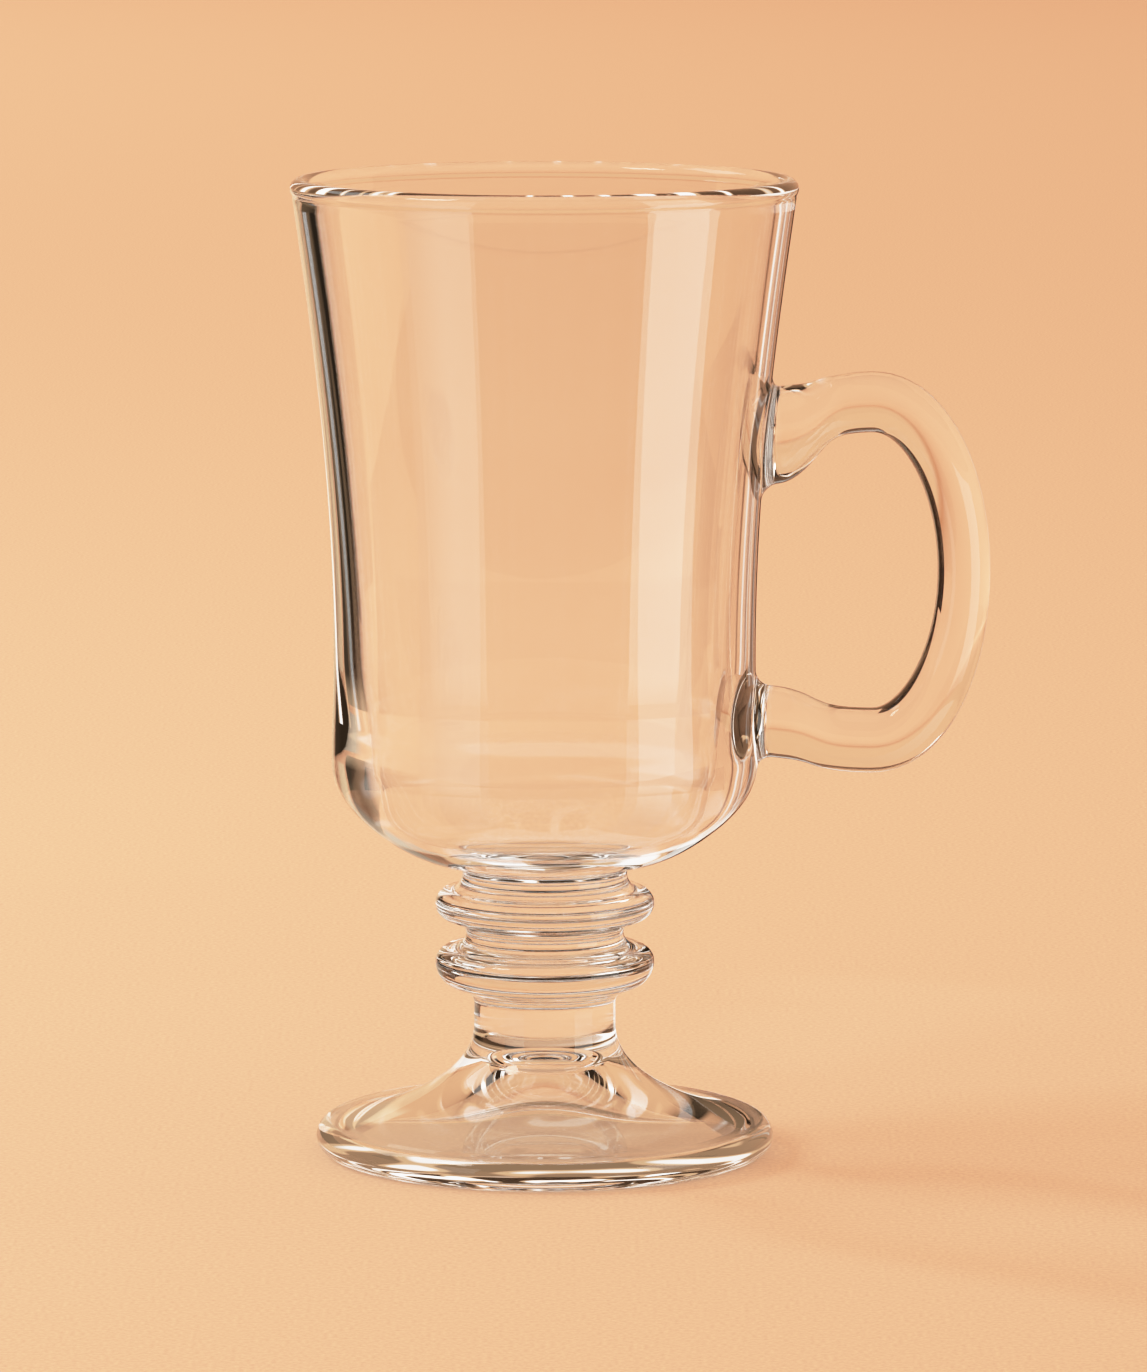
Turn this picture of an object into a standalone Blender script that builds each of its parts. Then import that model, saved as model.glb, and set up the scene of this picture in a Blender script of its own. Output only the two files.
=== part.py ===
"""Footed glass coffee mug: a flared bowl on a ringed stem and a hollow foot, with a loop handle.

Lengths are metres and +Z is up. The mug stands on the plane z = 0, and the origin is under the
middle of its box: the bowl's axis stands to one side of it, because the handle reaches out along +X.
"""
import math

import bmesh
import bpy
from mathutils import Vector
from mathutils.geometry import interpolate_bezier

# Foot: a pressed cone with a round rim and a hollow underside, slopes in degrees
foot_radius = 0.03465
foot_rim_bead = 0.0025
foot_height = 0.0195
foot_brow_radius = 0.0199
foot_brow_height = 0.0087
foot_brow_slope = 27
foot_shoulder_inset = 0.00375
foot_shoulder_height = 0.0049
foot_shoulder_slope = 13
stand_width = 0.0012
hollow_edge_slope = 40
hollow_brow_radius = 0.0130
hollow_brow_height = 0.0078
hollow_brow_slope = 33
hollow_height = 0.0165

# Stem: solid, with two rounded rings, angles in degrees
stem_height = 0.0236
stem_radius = 0.0107
waist_between_rings = 0.0119
neck_radius = 0.01245
ring_radius = 0.01655
ring_crown = 0.0022
upper_ring_sole = 0.0024
lower_ring_sole = 0.0039
ring_lead = 0.0012
ring_sole_turn = 75
lower_ring_rise = 0.0093
ring_spacing = 0.0089

# Bowl: sizes are measured up from its flat base and out from its axis, angles in degrees
bowl_height = 0.1039
rim_radius = 0.0380
lip_bead = 0.00135
lip_inner_edge = 212
lip_outer_edge = -38
wall_top_drop = 0.0030
wall_top_setback = 0.00034
rim_flare = 8.1
waist_radius = 0.03175
waist_height = 0.0318
heel_radius = 0.0321
heel_height = 0.0160
toe_radius = 0.0254
toe_height = 0.0054
toe_slope = 37
base_radius = 0.0126
base_slope = 8.5
rim_wall = 0.0030
waist_wall = 0.0039
waist_lean = 2.3
heel_wall = 0.0056
heel_lean = 5.4
floor_thickness = 0.0057
floor_radius = 0.0160
floor_dish = 0.0010
floor_edge_slope = 11

# Handle: heights are measured up from the bowl's base, the reach out from the waist
handle_projection = 0.03525
loop_depth = 0.0137
loop_top = 0.0703
loop_bottom = 0.0191
upper_root_height = 0.0649
lower_root_height = 0.0222
grip_thickness = 0.0079
grip_width = 0.0090
upper_arm_thickness = 0.0091
lower_arm_thickness = 0.0098
upper_root_thickness = 0.0146
lower_root_thickness = 0.0108
root_width = 0.0112
root_fillet = 0.0020

# Shares of an arm's length: where its swollen root begins and ends, and how long each end runs level
swell_begins = 0.14
swell_ends = 0.74
root_runs_level = 0.73
loop_runs_level = 0.57

# Fits and facets
fit_gap = 0.0003
root_depth = 0.0040
turn_steps = 48
short_span_steps = 3
span_steps = 6
long_span_steps = 10
bead_steps = 8
section_sides = 24
arm_stations = 16
bend_stations = 13
smooth_angle = math.radians(40)

# Lengths of Bezier handles: a share of the chord for a gentle sweep, of the radius for a quarter ellipse
GENTLE_REACH = 0.36
QUARTER_REACH = 0.5523

bowl_base = foot_height + stem_height + 2 * fit_gap
handle_reach = waist_radius + handle_projection
axis_x = (rim_radius - handle_reach) / 2


def clear_scene():
    for old in list(bpy.data.objects):
        bpy.data.objects.remove(old, do_unlink=True)


def make_collection(name):
    collection = bpy.data.collections.new(name)
    bpy.context.scene.collection.children.link(collection)
    return collection


def sweep(start, start_way, end, end_way, count):
    """Points of one smooth span in the radius-height plane, without its first point.

    The ways are the directions of travel at its two ends, in degrees up from the outward direction.
    """
    first = Vector((start[0], 0, start[1]))
    last = Vector((end[0], 0, end[1]))
    reach = GENTLE_REACH * (last - first).length
    leave = first + reach * heading(start_way)
    arrive = last - reach * heading(end_way)
    return [(point.x, point.z) for point in interpolate_bezier(first, leave, arrive, last, count + 1)][1:]


def heading(way):
    angle = math.radians(way)
    return Vector((math.cos(angle), 0, math.sin(angle)))


def arc(centre, radius, first, last, count):
    """Points of a round bead from one angle to another, in degrees from the outward direction."""
    middle = Vector((centre[0], 0, centre[1]))
    points = [middle + radius * heading(first + (last - first) * step / count) for step in range(count + 1)]
    return [(point.x, point.z) for point in points]


def smooth_step(share):
    share = min(max(share, 0.0), 1.0)
    return share * share * (3 - 2 * share)


def glass(name):
    """Clear colourless soda-lime glass, pressed and fire polished."""
    material = bpy.data.materials.new(name)
    material.use_nodes = True
    shader = material.node_tree.nodes["Principled BSDF"]
    shader.inputs["Base Color"].default_value = (0.94, 0.96, 0.95, 1)
    shader.inputs["Roughness"].default_value = 0.02
    shader.inputs["Metallic"].default_value = 0
    shader.inputs["IOR"].default_value = 1.52
    shader.inputs["Transmission Weight"].default_value = 1
    return material


def add_object(name, mesh, collection, parent):
    piece = bpy.data.objects.new(name, mesh)
    piece.parent = parent
    collection.objects.link(piece)
    return piece


def turned(name, profile, collection, parent):
    """A closed solid of revolution from a profile that starts and ends on the axis."""
    mesh = bpy.data.meshes.new(name)
    points = [(radius, 0, height) for radius, height in profile]
    mesh.from_pydata(points, [(i, i + 1) for i in range(len(points) - 1)], [])
    piece = add_object(name, mesh, collection, parent)
    screw = piece.modifiers.new("turn", "SCREW")
    screw.axis = "Z"
    screw.steps = turn_steps
    screw.render_steps = turn_steps
    screw.use_merge_vertices = True
    screw.merge_threshold = 0.00001
    screw.use_smooth_shade = True
    return piece


def foot_profile():
    neck = (stem_radius, foot_height)
    brow = (foot_brow_radius, foot_brow_height)
    shoulder = (foot_radius - foot_shoulder_inset, foot_shoulder_height)
    bead = (foot_radius - foot_rim_bead, foot_rim_bead)
    stand_edge = (bead[0] - stand_width, 0)
    hollow_brow = (hollow_brow_radius, hollow_brow_height)
    profile = [(0, foot_height), neck]
    profile += sweep(neck, -90, brow, -foot_brow_slope, span_steps)
    profile += sweep(brow, -foot_brow_slope, shoulder, -foot_shoulder_slope, span_steps)
    profile += arc(bead, foot_rim_bead, 90, -90, bead_steps)
    profile += [stand_edge]
    profile += sweep(stand_edge, 180 - hollow_edge_slope, hollow_brow, 180 - hollow_brow_slope, span_steps)
    profile += sweep(hollow_brow, 180 - hollow_brow_slope, (0, hollow_height), 180, span_steps)
    return profile


def ring_section(height, above, below, sole):
    """One rounded ring of the stem: a small round above its widest height, a larger one below."""
    top = (above, height + ring_crown + ring_lead)
    crown = (ring_radius - ring_crown, height)
    round_below = arc((ring_radius - sole, height), sole, 0, -ring_sole_turn, bead_steps // 2)
    bottom = (below, height - sole - ring_lead)
    points = [top]
    points += sweep(top, -90, (crown[0], height + ring_crown), 0, short_span_steps)
    points += arc(crown, ring_crown, 90, 0, bead_steps // 2)[1:]
    points += round_below[1:]
    points += sweep(round_below[-1], -90 - ring_sole_turn, bottom, -90, short_span_steps)
    return points


def stem_profile():
    base = foot_height + fit_gap
    lower = base + lower_ring_rise
    profile = [(0, base + stem_height), (neck_radius, base + stem_height)]
    profile += ring_section(lower + ring_spacing, neck_radius, waist_between_rings, upper_ring_sole)
    profile += ring_section(lower, waist_between_rings, stem_radius, lower_ring_sole)
    profile += [(stem_radius, base), (0, base)]
    return profile


def bowl_outside(offset=0.0):
    """Outside of the bowl from under the lip to its base, moved outwards by the offset."""
    wall_top = (rim_radius - wall_top_setback, bowl_height - wall_top_drop)
    waist = (waist_radius, waist_height)
    heel = (heel_radius, heel_height)
    toe = (toe_radius, toe_height)
    points = [wall_top]
    points += sweep(wall_top, -90 - rim_flare, waist, -90, long_span_steps)
    points += sweep(waist, -90, heel, -90, short_span_steps)
    points += sweep(heel, -90, toe, toe_slope - 180, span_steps)
    points += sweep(toe, toe_slope - 180, (base_radius, 0), base_slope - 180, span_steps)
    return [(radius + offset, bowl_base + height) for radius, height in points]


def bowl_inside():
    """Inside of the bowl from the middle of its floor to under the lip."""
    floor = (0, floor_thickness)
    floor_edge = (floor_radius, floor_thickness + floor_dish)
    heel = (heel_radius - heel_wall, heel_height)
    waist = (waist_radius - waist_wall, waist_height)
    wall_top = (rim_radius - wall_top_setback - rim_wall, bowl_height - wall_top_drop)
    points = [floor]
    points += sweep(floor, 0, floor_edge, floor_edge_slope, short_span_steps)
    points += sweep(floor_edge, floor_edge_slope, heel, 90 - heel_lean, span_steps)
    points += sweep(heel, 90 - heel_lean, waist, 90 - waist_lean, short_span_steps)
    points += sweep(waist, 90 - waist_lean, wall_top, 90 - rim_flare, long_span_steps)
    return [(radius, bowl_base + height) for radius, height in points]


def bowl_profile():
    bead = (rim_radius - lip_bead, bowl_base + bowl_height - lip_bead)
    lip = arc(bead, lip_bead, lip_inner_edge, lip_outer_edge, bead_steps)
    return bowl_inside() + lip + bowl_outside() + [(0, bowl_base)]


def wall_radius(height):
    """Outside radius of the bowl at a height, read along its profile."""
    profile = bowl_outside()
    for (r_high, z_high), (r_low, z_low) in zip(profile, profile[1:]):
        if z_low <= height <= z_high:
            return r_low + (r_high - r_low) * (height - z_low) / (z_high - z_low)
    return profile[0][0]


def root_flare(x, wall):
    """Extra half thickness of an arm where its fillet spreads on to the wall."""
    clear = min(max(x - wall, 0.0), root_fillet)
    return root_fillet - math.sqrt(root_fillet ** 2 - (root_fillet - clear) ** 2)


def arm_stations_along(root_height, loop_height, root_thickness, arm_thickness):
    """Stations of one arm, from inside the wall out to the loop: place, outward way, thickness, width."""
    wall = wall_radius(bowl_base + root_height)
    start = Vector((wall - root_depth, 0, bowl_base + root_height))
    end = Vector((handle_reach - grip_thickness / 2 - loop_depth, 0, bowl_base + loop_height))
    span = Vector((end.x - start.x, 0, 0))
    outward = Vector((0, 0, 1 if loop_height > (loop_top + loop_bottom) / 2 else -1))
    points = interpolate_bezier(start, start + root_runs_level * span, end - loop_runs_level * span, end,
                                arm_stations)
    stations = []
    for point in points:
        along = (point.x - wall) / (end.x - wall)
        share = smooth_step((along - swell_begins) / (swell_ends - swell_begins))
        flare = root_flare(point.x, wall)
        thickness = root_thickness + (arm_thickness - root_thickness) * share + 2 * flare
        width = root_width + (grip_width - root_width) * share + 2 * flare
        stations.append((point, outward, thickness, width))
    return stations


def bend_stations_along(loop_height, arm_thickness):
    """Stations of a quarter of the oval loop, from an arm to the middle of the grip."""
    grip_x = handle_reach - grip_thickness / 2
    middle = Vector((grip_x - loop_depth, 0, bowl_base + (loop_top + loop_bottom) / 2))
    half_height = bowl_base + loop_height - middle.z
    start = middle + Vector((0, 0, half_height))
    end = middle + Vector((loop_depth, 0, 0))
    points = interpolate_bezier(start, start + QUARTER_REACH * Vector((loop_depth, 0, 0)),
                                end + QUARTER_REACH * Vector((0, 0, half_height)), end, bend_stations)
    stations = []
    for step, point in enumerate(points):
        from_middle = point - middle
        outward = Vector((from_middle.x / loop_depth ** 2, 0, from_middle.z / half_height ** 2)).normalized()
        share = smooth_step(step / (bend_stations - 1))
        thickness = arm_thickness + (grip_thickness - arm_thickness) * share
        stations.append((point, outward, thickness, grip_width))
    return stations


def handle_stations():
    upper = arm_stations_along(upper_root_height, loop_top, upper_root_thickness, upper_arm_thickness)
    lower = arm_stations_along(lower_root_height, loop_bottom, lower_root_thickness, lower_arm_thickness)
    upper += bend_stations_along(loop_top, upper_arm_thickness)[1:]
    lower += bend_stations_along(loop_bottom, lower_arm_thickness)[1:]
    return upper + lower[::-1][1:]


def lofted_handle(collection, parent):
    """An oval section carried along the handle, swelling where its two arms meet the wall."""
    mesh = bpy.data.meshes.new("handle")
    shape = bmesh.new()
    rings = []
    for point, outward, thickness, width in handle_stations():
        ring = []
        for side in range(section_sides):
            turn = 2 * math.pi * side / section_sides
            sideways = Vector((0, width / 2 * math.sin(turn), 0))
            ring.append(shape.verts.new(point + outward * (thickness / 2 * math.cos(turn)) + sideways))
        rings.append(ring)
    for ring, following in zip(rings, rings[1:]):
        for side in range(section_sides):
            beside = (side + 1) % section_sides
            shape.faces.new((ring[side], ring[beside], following[beside], following[side]))
    shape.faces.new(rings[0][::-1])
    shape.faces.new(rings[-1])
    bmesh.ops.recalc_face_normals(shape, faces=shape.faces)
    shape.to_mesh(mesh)
    shape.free()
    mesh.shade_smooth()
    mesh.set_sharp_from_angle(angle=smooth_angle)
    return add_object("handle", mesh, collection, parent)


def cut_saddles(handle, collection, parent):
    """Trim both ends of the handle to the outside of the bowl, one fit gap away from it."""
    outside = bowl_outside(offset=fit_gap)
    profile = [(0, outside[0][1])] + outside + [(0, outside[-1][1])]
    cutter = turned("bowl_envelope", profile, collection, parent)
    cutter.hide_render = True
    cutter.display_type = "WIRE"
    trim = handle.modifiers.new("saddle", "BOOLEAN")
    trim.operation = "DIFFERENCE"
    trim.solver = "EXACT"
    trim.object = cutter


def main():
    clear_scene()
    pieces = make_collection("footed_glass_mug")
    cutters = make_collection("cutters")
    axis = bpy.data.objects.new("mug_axis", None)
    axis.location.x = axis_x
    pieces.objects.link(axis)

    foot = turned("foot", foot_profile(), pieces, axis)
    stem = turned("stem", stem_profile(), pieces, axis)
    bowl = turned("bowl", bowl_profile(), pieces, axis)
    handle = lofted_handle(pieces, axis)
    cut_saddles(handle, cutters, axis)

    for piece in (foot, stem, bowl, handle):
        piece.data.materials.append(glass(piece.name + "_glass"))


main()
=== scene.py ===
"""Looks of the footed glass mug: one clear body of pressed glass on a sweep of peach paper.

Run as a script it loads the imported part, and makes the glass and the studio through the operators
below. Lengths are metres, +Z is up and the handle is at +X.
"""

import math

import bpy
import numpy as np
from bpy.props import FloatProperty, FloatVectorProperty, IntProperty, PointerProperty
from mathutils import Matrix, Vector


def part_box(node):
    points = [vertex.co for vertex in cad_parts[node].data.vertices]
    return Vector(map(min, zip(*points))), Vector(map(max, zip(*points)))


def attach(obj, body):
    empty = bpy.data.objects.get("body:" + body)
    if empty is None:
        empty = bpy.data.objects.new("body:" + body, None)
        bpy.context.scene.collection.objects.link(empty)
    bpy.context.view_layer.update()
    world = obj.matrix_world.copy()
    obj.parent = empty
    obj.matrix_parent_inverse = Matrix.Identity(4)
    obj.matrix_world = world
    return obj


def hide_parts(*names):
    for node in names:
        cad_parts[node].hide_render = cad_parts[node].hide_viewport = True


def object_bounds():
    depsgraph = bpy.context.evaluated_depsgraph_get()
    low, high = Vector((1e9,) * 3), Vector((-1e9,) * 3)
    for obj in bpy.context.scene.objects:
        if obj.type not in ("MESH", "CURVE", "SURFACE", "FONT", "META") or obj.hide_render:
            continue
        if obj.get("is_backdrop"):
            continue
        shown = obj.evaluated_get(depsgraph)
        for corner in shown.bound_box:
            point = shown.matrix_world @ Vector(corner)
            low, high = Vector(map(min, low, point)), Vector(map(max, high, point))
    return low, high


bl_info = {
    "name": "Footed glass mug",
    "version": (1, 0, 0),
    "blender": (4, 5, 0),
    "location": "3D View > Sidebar > Glass Mug",
    "description": "Builds the clear glass of a footed coffee mug and its paper studio",
    "category": "Add Mesh",
}

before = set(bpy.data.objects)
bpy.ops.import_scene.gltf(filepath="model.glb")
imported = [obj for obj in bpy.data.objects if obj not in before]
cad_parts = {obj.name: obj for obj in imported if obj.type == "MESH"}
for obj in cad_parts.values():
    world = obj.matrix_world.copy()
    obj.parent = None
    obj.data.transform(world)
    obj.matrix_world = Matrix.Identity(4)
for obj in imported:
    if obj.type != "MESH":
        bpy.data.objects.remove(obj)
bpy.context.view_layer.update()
BOWL_LOW, BOWL_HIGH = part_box("bowl")
STEM_LOW, STEM_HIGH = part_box("stem")
FOOT_LOW, FOOT_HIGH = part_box("foot")
HANDLE_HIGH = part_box("handle")[1]
AXIS_X = (BOWL_LOW.x + BOWL_HIGH.x) / 2

MILLIMETRE = 0.001
# Directions in the mug's section, as angles up from the outward one
OUT, UP, IN, DOWN = 0.0, math.pi / 2, math.pi, -math.pi / 2
# A Bezier handle of this share of the chord makes a gentle sweep
GENTLE_REACH = 0.36
# A Bezier handle of this share of the radius makes a quarter circle
QUARTER_REACH = 0.5523
# Lines that are divided evenly are first drawn finely: rows of the wall in a step, points of an arm and
# of the loop
WALL_DRAFT = 12
ARM_DRAFT = 400
LOOP_DRAFT = 2001


def linear(hex_colour):
    """Linear RGBA of an sRGB hex colour."""
    values = np.array([int(hex_colour[k:k + 2], 16) / 255 for k in (1, 3, 5)])
    values = np.where(values <= 0.04045, values / 12.92, ((values + 0.055) / 1.055) ** 2.4)
    return (*values, 1.0)


def length(name, description, default):
    """A size that a user may change."""
    return FloatProperty(name=name, description=description, default=default, min=0, precision=5,
                         subtype="DISTANCE", unit="LENGTH")


def slope(name, description, degrees):
    """An angle that a user may change, given in degrees and kept in radians."""
    return FloatProperty(name=name, description=description, default=math.radians(degrees),
                         subtype="ANGLE", unit="ROTATION")


def share_of(name, description, default):
    """A share from 0 to 1 that a user may change."""
    return FloatProperty(name=name, description=description, default=default, min=0, max=1,
                         subtype="FACTOR")


def divisions(name, description, default, least):
    """A count of rows or columns that a user may change."""
    return IntProperty(name=name, description=description, default=default, min=least)


def swatch(name, description, hex_colour):
    """A colour that a user may change, kept in linear light."""
    return FloatVectorProperty(name=name, description=description, default=linear(hex_colour), size=4,
                               min=0, max=1, subtype="COLOR")


class BowlSizes(bpy.types.PropertyGroup):
    """Section of the bowl: radii from its axis and heights above its base."""
    base: length("Base", "Height of the bowl's base above the table", BOWL_LOW.z)
    top: length("Top", "Height of the lip above the table", BOWL_HIGH.z)
    rim: length("Rim", "Outside radius of the lip", (BOWL_HIGH.x - BOWL_LOW.x) / 2)
    lip: length("Lip", "Radius of the lip's round edge", 0.00155)
    lip_inside: slope("Lip inside", "Angle where the lip's round begins inside", 176)
    lip_outside: slope("Lip outside", "Angle where the lip's round ends outside", -38)
    wall_drop: length("Wall drop", "Height of the lip above the straight wall", 0.0030)
    wall_setback: length("Wall setback", "How far the lip stands out from the wall", 0.00034)
    flare: slope("Flare", "Lean of the wall under the lip", 8.1)
    waist: length("Waist", "Outside radius at the waist", 0.03175)
    waist_height: length("Waist height", "Height of the waist", 0.0318)
    heel: length("Heel", "Outside radius at the heel", 0.0321)
    heel_height: length("Heel height", "Height of the heel", 0.0160)
    toe: length("Toe", "Outside radius at the toe", 0.0254)
    toe_height: length("Toe height", "Height of the toe", 0.0054)
    toe_slope: slope("Toe slope", "Slope of the underside at the toe", 37)
    under: length("Underside", "Radius where the underside turns into the neck", 0.0144)
    under_height: length("Underside height", "Height of that turn", 0.0004)
    under_slope: slope("Underside slope", "Slope of the underside at that turn", 9)
    rim_wall: length("Rim wall", "Wall thickness under the lip", 0.0030)
    waist_wall: length("Waist wall", "Wall thickness at the waist", 0.0039)
    waist_lean: slope("Waist lean", "Lean of the inside at the waist", 2.3)
    heel_wall: length("Heel wall", "Wall thickness at the heel", 0.0056)
    heel_lean: slope("Heel lean", "Lean of the inside at the heel", 5.4)
    floor: length("Floor", "Thickness of the floor in the middle", 0.0042)
    floor_edge: length("Floor edge", "Radius of the floor's flat part", 0.0160)
    floor_dish: length("Floor dish", "Rise of the floor to that edge", 0.0010)
    floor_slope: slope("Floor slope", "Slope of the floor at that edge", 11)


class StemSizes(bpy.types.PropertyGroup):
    """Section of the stem: radii from its axis and heights above its lower end."""
    base: length("Base", "Height of the stem's lower end above the table", STEM_LOW.z)
    radius: length("Radius", "Radius of the stem under the rings", 0.0107)
    neck: length("Neck", "Radius of the neck under the bowl", 0.01245)
    neck_height: length("Neck height", "Height of the neck's narrowest place", 0.0227)
    waist: length("Waist", "Radius between the rings", 0.0119)
    ring: length("Ring", "Outside radius of the rings", (STEM_HIGH.x - STEM_LOW.x) / 2)
    crown: length("Crown", "Radius of the round on top of a ring", 0.0022)
    upper_sole: length("Upper sole", "Radius of the round under the upper ring", 0.0024)
    lower_sole: length("Lower sole", "Radius of the round under the lower ring", 0.0039)
    sole_turn: slope("Sole turn", "Angle that the round under a ring turns through", 75)
    lower_ring: length("Lower ring", "Height of the lower ring's widest place", 0.0093)
    spacing: length("Spacing", "Height of the upper ring over the lower one", 0.0089)
    lead: length("Lead", "Height of the fillet under the lower ring", 0.00256)


class FootSizes(bpy.types.PropertyGroup):
    """Section of the foot: radii from its axis and heights above the table."""
    top: length("Top", "Height where the flare begins", FOOT_HIGH.z)
    radius: length("Radius", "Outside radius of the rim", (FOOT_HIGH.x - FOOT_LOW.x) / 2)
    bead: length("Bead", "Radius of the round rim", 0.0025)
    bead_start: slope("Bead start", "Angle where the round rim begins on top", 82)
    brow: length("Brow", "Radius of the brow", 0.0199)
    brow_height: length("Brow height", "Height of the brow", 0.0087)
    brow_slope: slope("Brow slope", "Slope of the cone at the brow", 27)
    shoulder_inset: length("Shoulder inset", "Distance of the shoulder from the rim", 0.00375)
    shoulder_height: length("Shoulder height", "Height of the shoulder", 0.0049)
    shoulder_slope: slope("Shoulder slope", "Slope of the cone at the shoulder", 13)
    stand: length("Stand", "Width of the flat ring that the foot stands on", 0.0012)
    hollow_edge_slope: slope("Hollow edge slope", "Slope of the hollow at the stand", 23)
    hollow_brow: length("Hollow brow", "Radius where the dome of the hollow begins", 0.0062)
    hollow_brow_height: length("Hollow brow height", "Height where the dome begins", 0.0118)
    hollow_brow_slope: slope("Hollow brow slope", "Slope of the hollow there", 40)
    hollow_dome_slope: slope("Hollow dome slope", "Slope of the dome where it begins", 80)
    hollow_top: length("Hollow top", "Height of the dome", 0.0153)


class HandleSizes(bpy.types.PropertyGroup):
    """Handle: heights above the bowl's base, reach from the bowl's axis."""
    reach: length("Reach", "Distance of the grip's outside from the axis", HANDLE_HIGH.x - AXIS_X)
    loop_depth: length("Loop depth", "Depth of the oval loop from its arms to the grip", 0.0137)
    loop_top: length("Loop top", "Height of the upper arm's middle", 0.0703)
    loop_bottom: length("Loop bottom", "Height of the lower arm's middle", 0.0191)
    upper_root: length("Upper root", "Height of the upper root's middle", 0.0649)
    lower_root: length("Lower root", "Height of the lower root's middle", 0.0222)
    grip: length("Grip", "Thickness of the grip", 0.0079)
    width: length("Width", "Width of the grip", 0.0090)
    upper_arm: length("Upper arm", "Thickness of the upper arm", 0.0091)
    lower_arm: length("Lower arm", "Thickness of the lower arm", 0.0098)
    upper_swell: length("Upper swell", "Thickness of the upper root", 0.0146)
    lower_swell: length("Lower swell", "Thickness of the lower root", 0.0108)
    root_width: length("Root width", "Width of both roots", 0.0112)
    fillet: length("Fillet", "Size of the fillet between a root and the wall", 0.0021)
    root_depth: length("Root depth", "Depth in the wall where an arm's line begins", 0.0040)
    swell_begins: share_of("Swell begins", "Share of an arm where its swelling starts to go down", 0.14)
    swell_ends: share_of("Swell ends", "Share of an arm where its swelling is gone", 0.74)
    root_level: share_of("Root level", "How far an arm stays level at its root", 0.73)
    loop_level: share_of("Loop level", "How far an arm stays level at the loop", 0.57)


class MeshFineness(bpy.types.PropertyGroup):
    """How finely the glass is divided."""
    columns: divisions("Columns", "Divisions round the axis", 160, 48)
    step: length("Step", "Spacing of the rows on the bowl", 0.0012)
    lip_step: length("Lip step", "Spacing of the rows round the lip", 0.00024)
    stem_step: length("Stem step", "Spacing of the rows on the stem and the foot", 0.0003)
    window_columns: divisions("Window columns", "Half width of a root's window", 8, 4)
    window_rows: divisions("Window rows", "Half height of a root's window", 9, 4)
    collar_rings: divisions("Collar rings", "Rings from a window to its root", 5, 2)
    fillet_rings: divisions("Fillet rings", "Rings of a root's fillet", 8, 3)
    tube_step: length("Tube step", "Spacing of the rings along the handle", 0.0009)


class GlassLooks(bpy.types.PropertyGroup):
    """Clear glass, and the colours of the painted reflections that stand in for light mirrored in it more
    than once.
    """
    tint: swatch("Tint", "Colour of the light that passes", "#feffff")
    refraction: FloatProperty(name="Refraction", description="Index of refraction", default=1.52, min=1)
    ripple: length("Ripple", "Spacing of the ripple left by the mould", 0.014)
    ripple_height: length("Ripple height", "Height of that ripple", 0.0001)
    # Colours of the painted reflections: a plain glow, and painted highlights whose power goes above white
    painted_reflection: swatch("Streak", "Colour of light that mirrored often", "#e6b78d")
    painted_highlight: swatch("Glint", "Colour of the bright streaks in it", "#fffaf6")
    painted_highlight_power: FloatProperty(name="Glint power", description="Brightness of those streaks", default=2.0,
                               min=0)
    shadow_rim: swatch("Shadow rim", "Colour of the shadow of glass seen edge on", "#b8aa9c")


class MugSettings(bpy.types.PropertyGroup):
    """All sizes and looks of the mug."""
    bowl: PointerProperty(type=BowlSizes)
    stem: PointerProperty(type=StemSizes)
    foot: PointerProperty(type=FootSizes)
    handle: PointerProperty(type=HandleSizes)
    fineness: PointerProperty(type=MeshFineness)
    looks: PointerProperty(type=GlassLooks)


class StudioSettings(bpy.types.PropertyGroup):
    """Camera, paper and light."""
    camera_shift: FloatProperty(name="Camera x", description="Camera's place beside the axis",
                                default=0.00435, subtype="DISTANCE", unit="LENGTH")
    camera_distance: length("Camera distance", "Camera's place in front of the axis", 1.146)
    camera_height: length("Camera height", "Camera's height above the table", 0.2284)
    camera_pitch: slope("Camera pitch", "How far the camera looks down", 7.82)
    lens: FloatProperty(name="Lens", description="Focal length in millimetres", default=201.5,
                        unit="CAMERA")
    sweep_radius: length("Sweep radius", "Radius of the paper's floor", 5.0)
    sweep_bend: length("Sweep bend", "Radius of the paper's upward bend", 2.0)
    sweep_height: length("Sweep height", "Height of the paper's wall", 9.0)
    grain: length("Grain", "Spacing of the paper's felt grain", 0.0007)
    grain_height: length("Grain height", "Height of that grain", 0.0001)
    glow_height: length("Glow height", "Height from which the paper only glows", 0.4)
    paper_dark: swatch("Paper, dark", "Darker fibres of the paper", "#c3967f")
    paper_light: swatch("Paper, light", "Lighter fibres of the paper", "#f7c79d")
    paper_glow: swatch("Paper, glow", "Light of the paper where it rises", "#ffbc8e")
    white_card: swatch("White card", "Softbox fronts and the glow of the table at the right", "#fff6ec")
    warm_card: swatch("Warm card", "Stripes at the left", "#ffd6ac")
    table_card: swatch("Table card", "Glow of the table at the left", "#ffe2c4")
    ceiling_card: swatch("Ceiling card", "Glow of the room overhead", "#e6b78d")
    lamp: swatch("Lamp", "Colour of the lamps", "#ffffff")
    key_power: FloatProperty(name="Key light", description="Power of the lamp at the left", default=34.5,
                             min=0, unit="POWER")
    back_power: FloatProperty(name="Back light", description="Power of the lamp on the far paper",
                              default=188, min=0, unit="POWER")
    sky_strength: FloatProperty(name="Sky light", description="Strength of the light from above",
                                default=0.42, min=0)


def heading(way):
    """Unit vector in the section, by its angle up from the outward direction."""
    return np.stack([np.cos(way), np.sin(way)], axis=-1)


def bezier(p0, p1, p2, p3, count):
    """Points of a cubic Bezier without its first one: the blend of four corners by Bernstein weights."""
    t = np.linspace(0, 1, count + 1)[1:].reshape(-1, *[1] * np.ndim(p0))
    return (1 - t) ** 3 * p0 + 3 * t * (1 - t) ** 2 * p1 + 3 * t ** 2 * (1 - t) * p2 + t ** 3 * p3


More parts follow.
